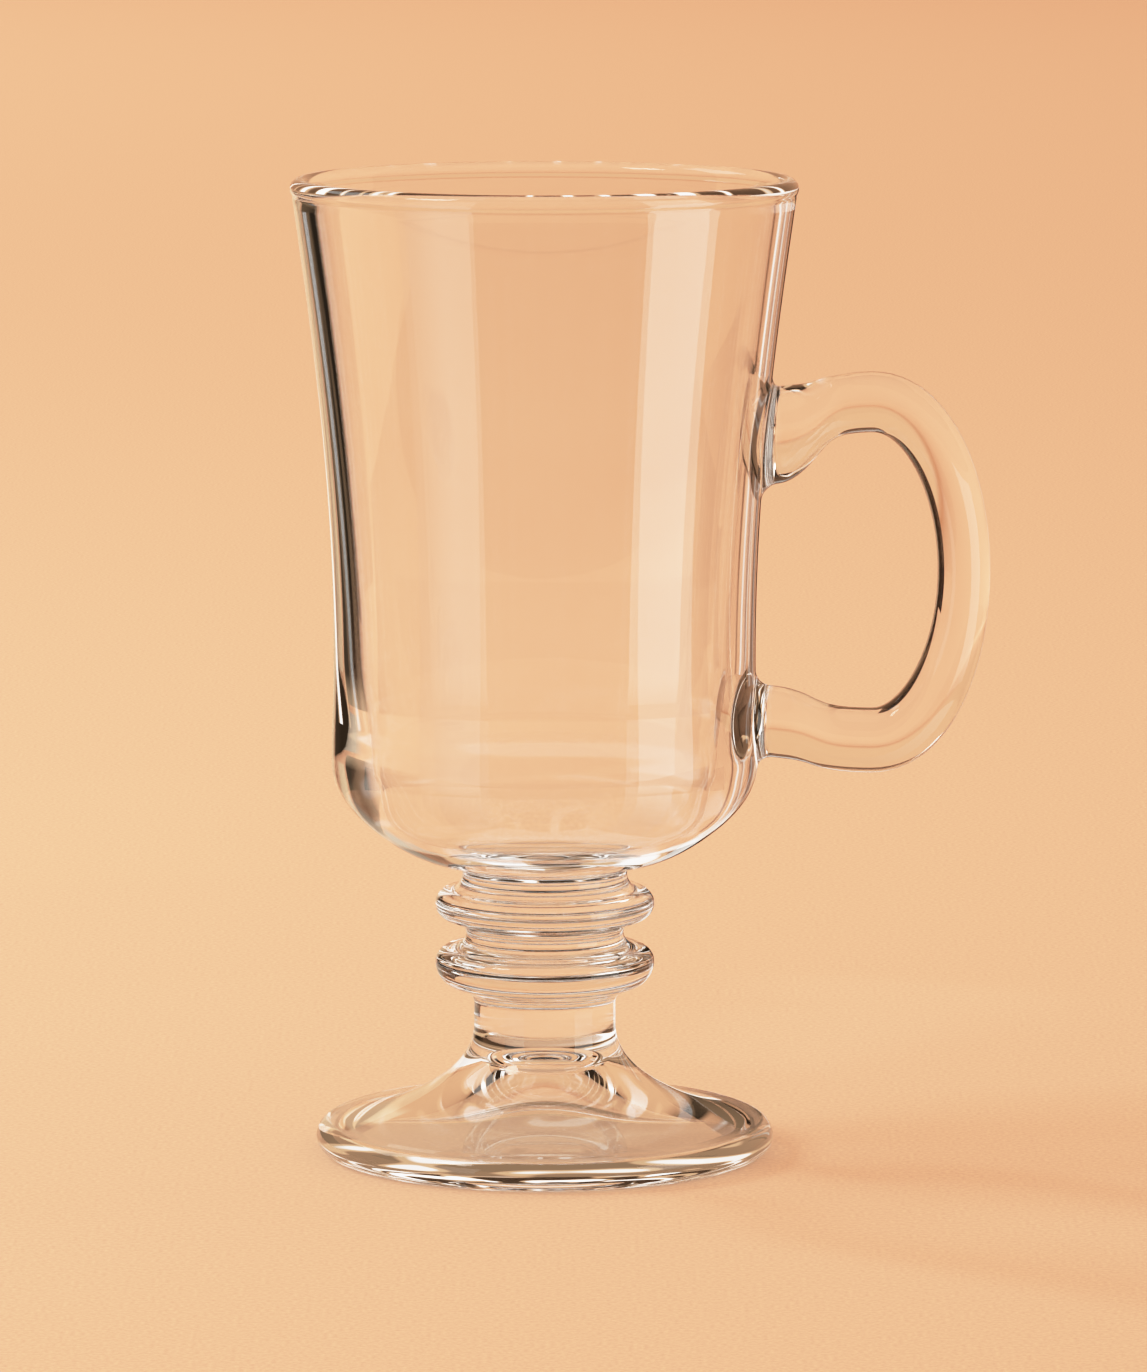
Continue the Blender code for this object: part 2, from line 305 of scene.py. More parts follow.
def span(start, start_way, end, end_way, step):
    """A smooth stretch of the section between two points, leaving and arriving at the given angles."""
    start = np.asarray(start, float)
    end = np.asarray(end, float)
    chord = np.linalg.norm(end - start)
    leave = start + GENTLE_REACH * chord * heading(start_way)
    arrive = end - GENTLE_REACH * chord * heading(end_way)
    return bezier(start, leave, arrive, end, max(3, math.ceil(chord / step)))


def arc(centre, radius, first, last, step):
    """A round stretch of the section: its centre plus the radius along each angle between two."""
    count = max(3, math.ceil(radius * abs(last - first) / step))
    return np.asarray(centre) + radius * heading(np.linspace(first, last, count + 1))


def along(points):
    """Distance of each point from the first one, measured along the line."""
    return np.concatenate([[0], np.cumsum(np.linalg.norm(np.diff(points, axis=0), axis=1))])


def resampled(points, step):
    """The same line with its points at equal distances along it."""
    distance = along(points)
    places = np.linspace(0, distance[-1], max(2, round(distance[-1] / step)) + 1)
    return np.stack([np.interp(places, distance, values) for values in points.T], axis=1)


def smooth_step(share):
    """A share that starts and ends gently: three times its square less twice its cube."""
    share = np.clip(share, 0, 1)
    return share * share * (3 - 2 * share)


def inside_section(bowl, step):
    """Section of the bowl's inside, from the middle of its floor up to the lip."""
    floor = np.array((0, bowl.base + bowl.floor))
    edge = (bowl.floor_edge, bowl.base + bowl.floor + bowl.floor_dish)
    heel = (bowl.heel - bowl.heel_wall, bowl.base + bowl.heel_height)
    waist = (bowl.waist - bowl.waist_wall, bowl.base + bowl.waist_height)
    wall_top = (bowl.rim - bowl.wall_setback - bowl.rim_wall, bowl.top - bowl.wall_drop)
    return np.concatenate([
        floor[None],
        span(floor, OUT, edge, bowl.floor_slope, step),
        span(edge, bowl.floor_slope, heel, UP - bowl.heel_lean, step / 2),
        span(heel, UP - bowl.heel_lean, waist, UP - bowl.waist_lean, step),
        span(waist, UP - bowl.waist_lean, wall_top, UP - bowl.flare, step),
    ])


def lip_section(bowl, step):
    """Section of the round lip, over the top from the inside to the outside."""
    centre = (bowl.rim - bowl.lip, bowl.top - bowl.lip)
    return arc(centre, bowl.lip, bowl.lip_inside, bowl.lip_outside, step)


def outside_section(bowl, step):
    """Section of the bowl's outside from under the lip to its toe, at equal distances."""
    wall_top = np.array((bowl.rim - bowl.wall_setback, bowl.top - bowl.wall_drop))
    waist = (bowl.waist, bowl.base + bowl.waist_height)
    heel = (bowl.heel, bowl.base + bowl.heel_height)
    toe = (bowl.toe, bowl.base + bowl.toe_height)
    fine = step / WALL_DRAFT
    line = np.concatenate([
        wall_top[None],
        span(wall_top, DOWN - bowl.flare, waist, DOWN, fine),
        span(waist, DOWN, heel, DOWN, fine),
        span(heel, DOWN, toe, bowl.toe_slope - IN, fine),
    ])
    return resampled(line, step)


def ring_section(stem, height, sole, step):
    """Section of one ring: a small round above its widest height, a larger one below."""
    crown = (stem.ring - stem.crown, height)
    sole_centre = (stem.ring - sole, height)
    return np.concatenate([
        arc(crown, stem.crown, UP, OUT, step),
        arc(sole_centre, sole, OUT, -stem.sole_turn, step)[1:],
    ])


def stem_section(bowl, stem, foot, step):
    """Section from the toe of the bowl down the neck, the two rings and the stem to the foot."""
    toe = (bowl.toe, bowl.base + bowl.toe_height)
    under = (bowl.under, bowl.base + bowl.under_height)
    neck = (stem.neck, stem.base + stem.neck_height)
    lower_height = stem.base + stem.lower_ring
    upper = ring_section(stem, lower_height + stem.spacing, stem.upper_sole, step)
    lower = ring_section(stem, lower_height, stem.lower_sole, step)
    waist = (stem.waist, (upper[-1, 1] + lower[0, 1]) / 2)
    shank = (stem.radius, lower[-1, 1] - stem.lead)
    return np.concatenate([
        span(toe, bowl.toe_slope - IN, under, bowl.under_slope - IN, 2 * step),
        span(under, bowl.under_slope - IN, neck, DOWN, step),
        span(neck, DOWN, upper[0], OUT, step),
        upper[1:],
        span(upper[-1], DOWN - stem.sole_turn, waist, DOWN, step),
        span(waist, DOWN, lower[0], OUT, step),
        lower[1:],
        span(lower[-1], DOWN - stem.sole_turn, shank, DOWN, step),
        span(shank, DOWN, (stem.radius, foot.top), DOWN, 2 * step),
    ])


def foot_section(stem, foot, step):
    """Section of the foot: down its flare, round its rim and up inside the hollow to the axis."""
    neck = (stem.radius, foot.top)
    brow = (foot.brow, foot.brow_height)
    shoulder = (foot.radius - foot.shoulder_inset, foot.shoulder_height)
    bead = (foot.radius - foot.bead, foot.bead)
    stand = (bead[0] - foot.stand, 0)
    hollow_brow = (foot.hollow_brow, foot.hollow_brow_height)
    return np.concatenate([
        span(neck, DOWN, brow, -foot.brow_slope, step),
        span(brow, -foot.brow_slope, shoulder, -foot.shoulder_slope, 2 * step),
        arc(bead, foot.bead, foot.bead_start, DOWN, step),
        span((bead[0], 0), IN, stand, IN, step),
        span(stand, IN - foot.hollow_edge_slope, hollow_brow, IN - foot.hollow_brow_slope, 2 * step),
        span(hollow_brow, IN - foot.hollow_dome_slope, (0, foot.hollow_top), IN, step),
    ])


def carried_round(line, columns):
    """Points of a line carried round the axis: x is the radius times the cosine, y times the sine."""
    turn = np.arange(columns) * 2 * np.pi / columns
    x = AXIS_X + line[:, :1] * np.cos(turn)
    y = line[:, :1] * np.sin(turn)
    z = np.broadcast_to(line[:, 1:], x.shape)
    return np.stack([x, y, z], axis=-1).reshape(-1, 3)


def ring_quads(grid):
    """Faces between neighbouring rows of a grid whose columns close on themselves."""
    return np.stack([grid[:-1], grid[1:], np.roll(grid[1:], -1, 1), np.roll(grid[:-1], -1, 1)], axis=-1)


def fan(pole, ring):
    """Triangles from one point to each pair of neighbours in a closed ring."""
    return np.stack([np.full(len(ring), pole), ring, np.roll(ring, -1)], axis=-1)


def wall_points(wall, turn, place):
    """Points on the bowl's outside by their angle round the axis and their distance down the wall."""
    distance = along(wall)
    radius = np.interp(place, distance, wall[:, 0])
    height = np.interp(place, distance, wall[:, 1])
    return np.stack([AXIS_X + radius * np.cos(turn), radius * np.sin(turn), height], axis=-1)


def window_loop(centre_row, half_rows, half_columns, upwards):
    """Rows and columns round a window in the grid, from its outer edge's middle towards +Y."""
    side = np.arange(1, 2 * half_rows + 1) - half_rows
    far = half_columns - np.arange(1, 2 * half_columns + 1)
    rows = np.concatenate([
        np.full(half_columns + 1, -half_rows), side, np.full(2 * half_columns, half_rows),
        -side, np.full(half_columns - 1, -half_rows),
    ])
    columns = np.concatenate([
        np.arange(half_columns + 1), np.full(2 * half_rows, half_columns), far,
        np.full(2 * half_rows, -half_columns), np.arange(1, half_columns) - half_columns,
    ])
    return centre_row + (rows if upwards else -rows), columns


def oval(sides):
    """Cosine and sine of equal steps round a section of the handle, from its outer side towards +Y."""
    turn = np.arange(sides) * 2 * np.pi / sides
    return np.cos(turn), np.sin(turn)


def handle_rings(place, outward, thickness, width, sides):
    """Ovals carried along the handle: each point moves out by its half thickness and half width."""
    cosine, sine = oval(sides)
    rings = place[:, None, :] + outward[:, None, :] * (thickness[:, None] / 2 * cosine)[..., None]
    rings[..., 1] += width[:, None] / 2 * sine
    return rings


def arm(handle, bowl, wall_radius, root, loop, swell, thickness, upwards, step):
    """One arm from its root's fillet to the loop: a level S-curve whose root swells."""
    end_x = handle.reach - handle.grip / 2 - handle.loop_depth
    start_x = wall_radius - handle.root_depth
    run = end_x - start_x
    corners = np.array([(start_x, root), (start_x + handle.root_level * run, root),
                        (end_x - handle.loop_level * run, loop), (end_x, loop)])
    line = bezier(*corners, ARM_DRAFT)
    first = wall_radius + handle.fillet
    x = np.linspace(first, end_x, max(4, round((end_x - first) / step)) + 1)
    z = bowl.base + np.interp(x, line[:, 0], line[:, 1])
    share = (x - wall_radius) / (end_x - wall_radius)
    share = smooth_step((share - handle.swell_begins) / (handle.swell_ends - handle.swell_begins))
    place = np.stack([AXIS_X + x, np.zeros_like(x), z], axis=-1)
    outward = np.broadcast_to((0, 0, 1 if upwards else -1), place.shape)
    width = handle.root_width + (handle.width - handle.root_width) * share
    return place, outward, swell + (thickness - swell) * share, width


def bend(handle, bowl, step):
    """The oval loop between the arms: an ellipse, with its normal as the outward direction."""
    middle_x = AXIS_X + handle.reach - handle.grip / 2 - handle.loop_depth
    middle_z = bowl.base + (handle.loop_top + handle.loop_bottom) / 2
    half = (handle.loop_top - handle.loop_bottom) / 2
    turn = np.linspace(UP, DOWN, LOOP_DRAFT)
    distance = along(np.stack([handle.loop_depth * np.cos(turn), half * np.sin(turn)], axis=-1))
    places = np.linspace(0, distance[-1], round(distance[-1] / step) + 1)[1:-1]
    turn = np.interp(places, distance, turn)
    cosine = np.cos(turn)
    sine = np.sin(turn)
    nothing = np.zeros_like(turn)
    place = np.stack([middle_x + handle.loop_depth * cosine, nothing, middle_z + half * sine], axis=-1)
    outward = np.stack([cosine / handle.loop_depth, nothing, sine / half], axis=-1)
    outward /= np.linalg.norm(outward, axis=1, keepdims=True)
    arm_thickness = np.where(sine > 0, handle.upper_arm, handle.lower_arm)
    thickness = arm_thickness + (handle.grip - arm_thickness) * smooth_step(1 - np.abs(turn) / UP)
    return place, outward, thickness, np.full_like(turn, handle.width)


def root_rings(wall, loop_turn, loop_place, height, first_ring, swell, handle, fineness, upwards):
    """Rings from a window in the wall to an arm: a collar on the wall, then a fillet.

    The collar blends from the window's border to the root's footprint in angle and distance on the
    wall. The fillet is a cubic Bezier for each side that leaves the footprint along the wall and
    reaches the arm's first ring along the arm.
    """
    cosine, sine = oval(len(loop_turn))
    up = cosine if upwards else -cosine

    def outline(spread):
        """Angle and distance down the wall of the root's oval, set out by a spread all round."""
        place = np.interp(-(height + (swell / 2 + spread) * up), -wall[:, 1], along(wall))
        radius = np.interp(place, along(wall), wall[:, 0])
        return np.arcsin((handle.root_width / 2 + spread) * sine / radius), place

    foot_turn, foot_place = outline(handle.fillet)
    share = np.linspace(0, 1, fineness.collar_rings + 1)[1:, None]
    collar = wall_points(wall, loop_turn + (foot_turn - loop_turn) * share,
                         loop_place + (foot_place - loop_place) * share)
    leave = wall_points(wall, *outline(handle.fillet * (1 - QUARTER_REACH)))
    arrive = first_ring.copy()
    arrive[:, 0] -= QUARTER_REACH * (first_ring[:, 0] - leave[:, 0])
    fillet = bezier(collar[-1], leave, arrive, first_ring, fineness.fillet_rings)[:-1]
    return np.concatenate([collar, fillet])


def glass_surface(mug):
    """Points and faces of the whole body of glass, closed: a turned section joined to the handle.

    The turned grid has a window at each root. Rings run from the border of the upper window out along
    the handle and back to the border of the lower one, so that the wall, fillets and loop are one skin.
    """
    bowl = mug.bowl
    handle = mug.handle
    fineness = mug.fineness
    columns = fineness.columns
    wall = outside_section(bowl, fineness.step)
    above = np.concatenate([inside_section(bowl, fineness.step), lip_section(bowl, fineness.lip_step)])
    section = np.concatenate([above, wall, stem_section(bowl, mug.stem, mug.foot, fineness.stem_step),
                              foot_section(mug.stem, mug.foot, fineness.stem_step)])
    turned = carried_round(section[1:-1], columns)
    poles = [(AXIS_X, 0, section[0, 1]), (AXIS_X, 0, section[-1, 1])]
    first_pole = len(turned)
    grid = np.arange(first_pole).reshape(-1, columns)

    first_wall_row = len(above) - 1
    heights = (bowl.base + handle.upper_root, bowl.base + handle.lower_root)
    centre_rows = [np.abs(wall[:, 1] - height).argmin() for height in heights]
    loops = []
    borders = []
    for row, upwards in zip(centre_rows, (True, False)):
        loop_rows, loop_columns = window_loop(row, fineness.window_rows, fineness.window_columns, upwards)
        loops.append(grid[first_wall_row + loop_rows, loop_columns % columns])
        borders.append((loop_columns * 2 * np.pi / columns, along(wall)[loop_rows]))

    upper = arm(handle, bowl, wall[centre_rows[0], 0], handle.upper_root, handle.loop_top,
                handle.upper_swell, handle.upper_arm, True, fineness.tube_step)
    lower = arm(handle, bowl, wall[centre_rows[1], 0], handle.lower_root, handle.loop_bottom,
                handle.lower_swell, handle.lower_arm, False, fineness.tube_step)
    loop = bend(handle, bowl, fineness.tube_step)
    path = [np.concatenate([a, b, c[::-1]]) for a, b, c in zip(upper, loop, lower)]
    sides = len(loops[0])
    tube = handle_rings(*path, sides)
    upper_root = root_rings(wall, *borders[0], heights[0], tube[0], handle.upper_swell, handle,
                            fineness, True)
    lower_root = root_rings(wall, *borders[1], heights[1], tube[-1], handle.lower_swell, handle,
                            fineness, False)
    rings = np.concatenate([upper_root, tube, lower_root[::-1]])
    points = np.concatenate([turned, poles])
    ring_index = len(points) + np.arange(len(rings) * sides).reshape(-1, sides)
    ring_index = np.concatenate([loops[0][None], ring_index, loops[1][None]])
    points = np.concatenate([points, rings.reshape(-1, 3)])

    quads = ring_quads(grid)
    keep = np.ones(quads.shape[:2], bool)
    near = np.arange(-fineness.window_columns, fineness.window_columns) % columns
    for row in centre_rows:
        first = first_wall_row + row - fineness.window_rows
        keep[first:first + 2 * fineness.window_rows, near] = False
    quads = np.concatenate([quads[keep], ring_quads(ring_index).reshape(-1, 4)])
    underside = fan(first_pole + 1, grid[-1])[:, (0, 2, 1)]
    triangles = np.concatenate([fan(first_pole, grid[0]), underside])
    return dropped_unused(points, quads, triangles)


def dropped_unused(points, quads, triangles):
    """The same faces on only the points that they use."""
    used = np.zeros(len(points), bool)
    used[quads] = True
    used[triangles] = True
    renumber = np.cumsum(used) - 1
    return points[used], renumber[quads], renumber[triangles]


def mesh_object(name, points, quads, triangles=None):
    """A smooth mesh object at the origin from arrays of points and faces."""
    triangles = np.zeros((0, 3), int) if triangles is None else triangles
    mesh = bpy.data.meshes.new(name)
    corners = np.concatenate([quads.ravel(), triangles.ravel()]).astype(np.int32)
    totals = np.concatenate([np.full(len(quads), 4), np.full(len(triangles), 3)]).astype(np.int32)
    starts = np.concatenate([[0], np.cumsum(totals)[:-1]]).astype(np.int32)
    mesh.vertices.add(len(points))
    mesh.vertices.foreach_set("co", points.astype(np.float32).ravel())
    mesh.loops.add(len(corners))
    mesh.loops.foreach_set("vertex_index", corners)
    mesh.polygons.add(len(totals))
    mesh.polygons.foreach_set("loop_start", starts)
    mesh.polygons.foreach_set("use_smooth", np.ones(len(totals), bool))
    mesh.update(calc_edges=True)
    if mesh.validate():
        raise RuntimeError(f"the mesh of {name} needed repair")
    piece = bpy.data.objects.new(name, mesh)
    bpy.context.scene.collection.objects.link(piece)
    return piece


def add_node(tree, kind, settings=None, **links):
    """A node with its settings and inputs: a link for an output socket, a plain value otherwise."""
    node = tree.nodes.new(kind)
    for name, value in (settings or {}).items():
        setattr(node, name, value)
    for name, value in links.items():
        socket = node.inputs[int(name[1:]) if name[1:].isdigit() else name.replace("_", " ")]
        if isinstance(value, bpy.types.NodeSocket):
            tree.links.new(value, socket)
        else:
            socket.default_value = value
    return node


def new_material(name):
    """A material with an empty node tree, whose glow isn't sampled as a lamp."""
    material = bpy.data.materials.new(name)
    material.use_nodes = True
    material.cycles.emission_sampling = "NONE"
    material.node_tree.nodes.clear()
    return material, material.node_tree


# Light that mirrored more often than this in the glass meets painted reflections instead of more glass
OFTEN = 1.5
# The bowl's wall is outside this radius and between these heights. Foot and lip have their rims beyond
# the next two
WALL_RADIUS = 25.5 * MILLIMETRE
WALL_LOW, WALL_HIGH = 62 * MILLIMETRE, 143 * MILLIMETRE
FOOT_RIM, LIP_RIM = 7 * MILLIMETRE, 143 * MILLIMETRE
# Lines of painted reflection per unit of the turn's cosine and sine, and per metre up: upright on the wall,
# level elsewhere
UPRIGHT_STREAKS = (14.0, 14.0, 1 / (400 * MILLIMETRE))
LEVEL_STREAKS = (1.2, 1.2, 1 / (3.0 * MILLIMETRE))
RIM_STREAKS = (1.0, 1.0, 1 / (1.6 * MILLIMETRE))
# Levels of the noise where painted reflections turn from painted shade to plain and from plain to painted
# highlight
DARK_LEVEL, PLAIN_LEVEL = 0.53, 0.56
GLINT_LEVEL, BRIGHT_LEVEL = 0.60, 0.64
# The wall's noise is lowered by this, for more lines of painted shade than of painted highlight
WALL_DARKER = -0.05
# Brightness of the painted shade and cover of the painted highlights, on the rims and elsewhere
RIM_DARKEST, DARKEST = 0.4, 0.04
RIM_BRIGHTEST, BRIGHTEST = 0.6, 1.0


def pressed_glass(looks):
    """Soda-lime glass, pressed and fire polished: clear, with the faintest ripple left by the mould, and
    painted reflections where light has mirrored in it more than once.
    """
    material, tree = new_material("soda_lime_glass_pressed")
    place = add_node(tree, "ShaderNodeTexCoord").outputs["Object"]
    ripple = add_node(tree, "ShaderNodeTexNoise", Vector=place, Scale=1 / looks.ripple, Detail=1.0)
    bump = add_node(tree, "ShaderNodeBump", Strength=0.05, Distance=looks.ripple_height,
                    Height=ripple.outputs["Fac"])
    glass = add_node(tree, "ShaderNodeBsdfPrincipled", Base_Color=looks.tint, Roughness=0.0,
                     IOR=looks.refraction, Transmission_Weight=1.0, Normal=bump.outputs["Normal"])
    path = add_node(tree, "ShaderNodeLightPath").outputs
    # Light mirrored again and again meets painted reflections instead: glowing noise lines, dark ones as
    # painted shade and bright ones as painted highlights, upright in the wall and level in rings and rims
    height = add_node(tree, "ShaderNodeSeparateXYZ", Vector=place).outputs["Z"]
    off_axis = add_node(tree, "ShaderNodeVectorMath", {"operation": "MULTIPLY_ADD"}, _0=place,
                        _1=(1.0, 1.0, 0.0), _2=(-AXIS_X, 0.0, 0.0)).outputs["Vector"]
    radius = add_node(tree, "ShaderNodeVectorMath", {"operation": "LENGTH"}, _0=off_axis).outputs["Value"]
    turn = add_node(tree, "ShaderNodeVectorMath", {"operation": "NORMALIZE"}, _0=off_axis)
    round_place = add_node(tree, "ShaderNodeVectorMath", {"operation": "MULTIPLY_ADD"}, _0=place,
                           _1=(0.0, 0.0, 1.0), _2=turn.outputs["Vector"]).outputs["Vector"]
    wide = add_node(tree, "ShaderNodeMath", {"operation": "GREATER_THAN"}, _0=radius, _1=WALL_RADIUS)
    between = add_node(tree, "ShaderNodeMath", {"operation": "COMPARE"}, _0=height,
                       _1=(WALL_HIGH + WALL_LOW) / 2, _2=(WALL_HIGH - WALL_LOW) / 2)
    on_wall = add_node(tree, "ShaderNodeMath", {"operation": "MULTIPLY"}, _0=wide.outputs["Value"],
                       _1=between.outputs["Value"]).outputs["Value"]
    off_rims = add_node(tree, "ShaderNodeMath", {"operation": "COMPARE"}, _0=height,
                        _1=(LIP_RIM + FOOT_RIM) / 2, _2=(LIP_RIM - FOOT_RIM) / 2).outputs["Value"]
    level_count = add_node(tree, "ShaderNodeMix", {"data_type": "VECTOR"}, _0=off_rims, _4=RIM_STREAKS,
                           _5=LEVEL_STREAKS)
    count = add_node(tree, "ShaderNodeMix", {"data_type": "VECTOR"}, _0=on_wall,
                     _4=level_count.outputs[1], _5=UPRIGHT_STREAKS)
    drawn_out = add_node(tree, "ShaderNodeVectorMath", {"operation": "MULTIPLY"}, _0=round_place,
                         _1=count.outputs[1])
    painted_reflection = add_node(tree, "ShaderNodeTexNoise", Vector=drawn_out.outputs["Vector"], Scale=1.0, Detail=0.0)
    level = add_node(tree, "ShaderNodeMath", {"operation": "MULTIPLY_ADD"}, _0=on_wall, _1=WALL_DARKER,
                     _2=painted_reflection.outputs["Fac"]).outputs["Value"]
    darkest = add_node(tree, "ShaderNodeMix", {"data_type": "FLOAT"}, _0=off_rims, _2=RIM_DARKEST,
                       _3=DARKEST)
    brightest = add_node(tree, "ShaderNodeMix", {"data_type": "FLOAT"}, _0=off_rims, _2=RIM_BRIGHTEST,
                         _3=BRIGHTEST)
    dark = add_node(tree, "ShaderNodeMapRange", _0=level, _1=DARK_LEVEL, _2=PLAIN_LEVEL,
                    _3=darkest.outputs[0], _4=1.0)
    bright = add_node(tree, "ShaderNodeMapRange", _0=level, _1=GLINT_LEVEL, _2=BRIGHT_LEVEL, _3=0.0,
                      _4=brightest.outputs[0])
    painted_highlight = (*[looks.painted_highlight_power * value for value in looks.painted_highlight[:3]], 1.0)
    tone = add_node(tree, "ShaderNodeMix", {"data_type": "RGBA"}, _0=bright.outputs["Result"],
                    _6=looks.painted_reflection, _7=painted_highlight)
    # Painted reflection: the glass glows in these lines, though it is no lamp
    painted_reflections = add_node(tree, "ShaderNodeEmission", Color=tone.outputs[2], Strength=dark.outputs["Result"])
    often = add_node(tree, "ShaderNodeMath", {"operation": "GREATER_THAN"}, _0=path["Glossy Depth"],
                     _1=OFTEN)
    deep = add_node(tree, "ShaderNodeMixShader", Fac=often.outputs["Value"], _1=glass.outputs["BSDF"],
                    _2=painted_reflections.outputs["Emission"])
    # Light that grazes the glass is bent away, so its shadow is a dark outline and not a dark shape
    grazing = add_node(tree, "ShaderNodeLayerWeight", Blend=0.15).outputs["Facing"]
    shadow = add_node(tree, "ShaderNodeMix", {"data_type": "RGBA"}, _0=grazing, _6=linear("#ffffff"),
                      _7=looks.shadow_rim)
    clear = add_node(tree, "ShaderNodeBsdfTransparent", Color=shadow.outputs[2])
    mix = add_node(tree, "ShaderNodeMixShader", Fac=path["Is Shadow Ray"], _1=deep.outputs["Shader"],
                   _2=clear.outputs["BSDF"])
    add_node(tree, "ShaderNodeOutputMaterial", Surface=mix.outputs["Shader"])
    return material


def peach_paper(studio):
    """Matt dyed paper: an even peach with a fine felt grain, glowing where it rises."""
    material, tree = new_material("dyed_paper_matt")
    place = add_node(tree, "ShaderNodeTexCoord").outputs["Object"]
    # Fibres are finer than a pixel, so the felt grain is drawn as coarse as it needs to show
    grain = add_node(tree, "ShaderNodeTexNoise", Vector=place, Scale=1 / studio.grain, Detail=2.0)
    shade = add_node(tree, "ShaderNodeMix", {"data_type": "RGBA"}, _0=grain.outputs["Fac"],
                     _6=studio.paper_dark, _7=studio.paper_light)
    height = add_node(tree, "ShaderNodeSeparateXYZ", Vector=place).outputs["Z"]
    rise = add_node(tree, "ShaderNodeMapRange", {"interpolation_type": "SMOOTHSTEP"}, _0=height, _1=0.0,
                    _2=studio.glow_height).outputs["Result"]
    lit = add_node(tree, "ShaderNodeMix", {"data_type": "RGBA"}, _0=rise, _6=shade.outputs[2],
                   _7=linear("#000000"))
    bump = add_node(tree, "ShaderNodeBump", Strength=0.1, Distance=studio.grain_height,
                    Height=grain.outputs["Fac"])
    paper = add_node(tree, "ShaderNodeBsdfPrincipled", Base_Color=lit.outputs[2], Roughness=0.9,
                     Specular_IOR_Level=0.1, Normal=bump.outputs["Normal"],
                     Emission_Color=studio.paper_glow, Emission_Strength=rise)
    add_node(tree, "ShaderNodeOutputMaterial", Surface=paper.outputs["BSDF"])
    return material


def lit_card(name, colour, seen_by):
    """A card whose brightness and cover come from its mesh, as a softbox front or a black flag.

    Only light whose count of mirrorings or passes through glass meets the test sees the card, so it
    stays out of what is seen straight through the mug.
    """
    per_wall, per_mirroring, lowest, highest = seen_by
    material, tree = new_material(name)
    glow = add_node(tree, "ShaderNodeAttribute", {"attribute_name": "glow"}).outputs["Fac"]
    cover = add_node(tree, "ShaderNodeAttribute", {"attribute_name": "cover"}).outputs["Fac"]
    light = add_node(tree, "ShaderNodeEmission", Color=colour, Strength=glow)
    path = add_node(tree, "ShaderNodeLightPath").outputs
    mirrored = add_node(tree, "ShaderNodeMath", {"operation": "MULTIPLY"}, _0=path["Glossy Depth"],
                        _1=per_mirroring)
    count = add_node(tree, "ShaderNodeMath", {"operation": "MULTIPLY_ADD"}, _0=path["Transmission Depth"],
                     _1=per_wall, _2=mirrored.outputs["Value"])
    seen = add_node(tree, "ShaderNodeMath", {"operation": "COMPARE"}, _0=count.outputs["Value"],
                    _1=(lowest + highest) / 2, _2=(highest - lowest) / 2)
    shown = add_node(tree, "ShaderNodeMath", {"operation": "MULTIPLY"}, _0=seen.outputs["Value"], _1=cover)
    clear = add_node(tree, "ShaderNodeBsdfTransparent")
    mix = add_node(tree, "ShaderNodeMixShader", Fac=shown.outputs["Value"], _1=clear.outputs["BSDF"],
                   _2=light.outputs["Emission"])
    add_node(tree, "ShaderNodeOutputMaterial", Surface=mix.outputs["Shader"])
    return material


# Which light sees a card: weights of the surfaces passed and of the mirrorings, and the sum's limits
FEW_WALLS = (2, 1, 0, 5.5)  # passed two surfaces at most
ONE_BODY = (1, 10, 1.5, 2.5)  # passed two surfaces and mirrored nowhere
FRONT_SHINE = (0.1, 1, 0.5, 1.3)  # mirrored once and passed few surfaces
OUTSIDE_SHINE = (10, 1, 0.5, 1.5)  # mirrored once and passed none
MANY_WALLS = (1, -10, 2.5, 200)  # passed three surfaces or more and mirrored nowhere
MIRRORED = (0, 1, 0.5, 200)  # mirrored once or more
WELL_INSIDE = (1, 2, 3.5, 200)  # passed four surfaces, or fewer with a mirroring

# Stops along a card: angle from the camera's side to the right in degrees, brightness, cover from 0 to 1
LEFT_BOX = ((-66, 0.4, 1), (-48, 1.5, 1), (-32, 1.5, 1))
RIGHT_BOX = ((48, 3.0, 1), (81, 3.0, 1))
LEFT_STRIPES = ((-172, 1.3, 0), (-167, 1.3, 0.9), (-157, 1.3, 0.9), (-155, 0.08, 0), (-153, 0.08, 1),
                (-146, 0.06, 1), (-139, 0.02, 1), (-126, 0.02, 1), (-112, 0.02, 0))
LEFT_FADE = ((-155, 0.08, 0), (-153, 0.08, 1), (-139, 0.04, 1), (-126, 0.04, 1), (-112, 0.04, 0))
LEFT_GLOW = ((-172, 0.9, 0), (-162, 0.9, 1), (-140, 0.9, 1), (-130, 0.9, 0))
RIGHT_GLOW = ((142, 1.8, 0), (150, 1.8, 1), (162, 1.8, 1), (170, 1.8, 0))
RIGHT_STRIPES = ((132, 0, 0), (134, 0, 0.9), (136, 0, 0), (139, 1.5, 0), (141, 1.5, 1), (143, 1.5, 0),
                 (148, 0, 0.5), (150, 1.4, 0.7), (153, 0, 0), (158, 0, 0), (161, 0, 1), (168, 0, 1),
                 (172, 0, 0))
LEFT_FLAG = ((-149, 0, 0), (-145, 0, 1), (-112, 0, 1))
# Rows of a card: distance from the axis, height, share of the brightness. Lying cards clear the paper
LYING = 2 * MILLIMETRE
BOX_ROWS = ((0.2, 0, 0.3), (0.2, 0.03, 1), (0.2, 0.125, 1))
BOX_FOOT_ROWS = ((0.05, LYING, 0.05), (0.12, LYING, 0.5), (0.2, LYING, 0.8))
STRIPE_ROWS = ((0.265, LYING, 1), (0.39, LYING, 1), (0.39, 0.13, 1))
FADE_ROWS = ((0.17, LYING, 11), (0.22, LYING, 4), (0.265, LYING, 1))
GLOW_ROWS = ((0.075, LYING, 1), (0.16, LYING, 1))

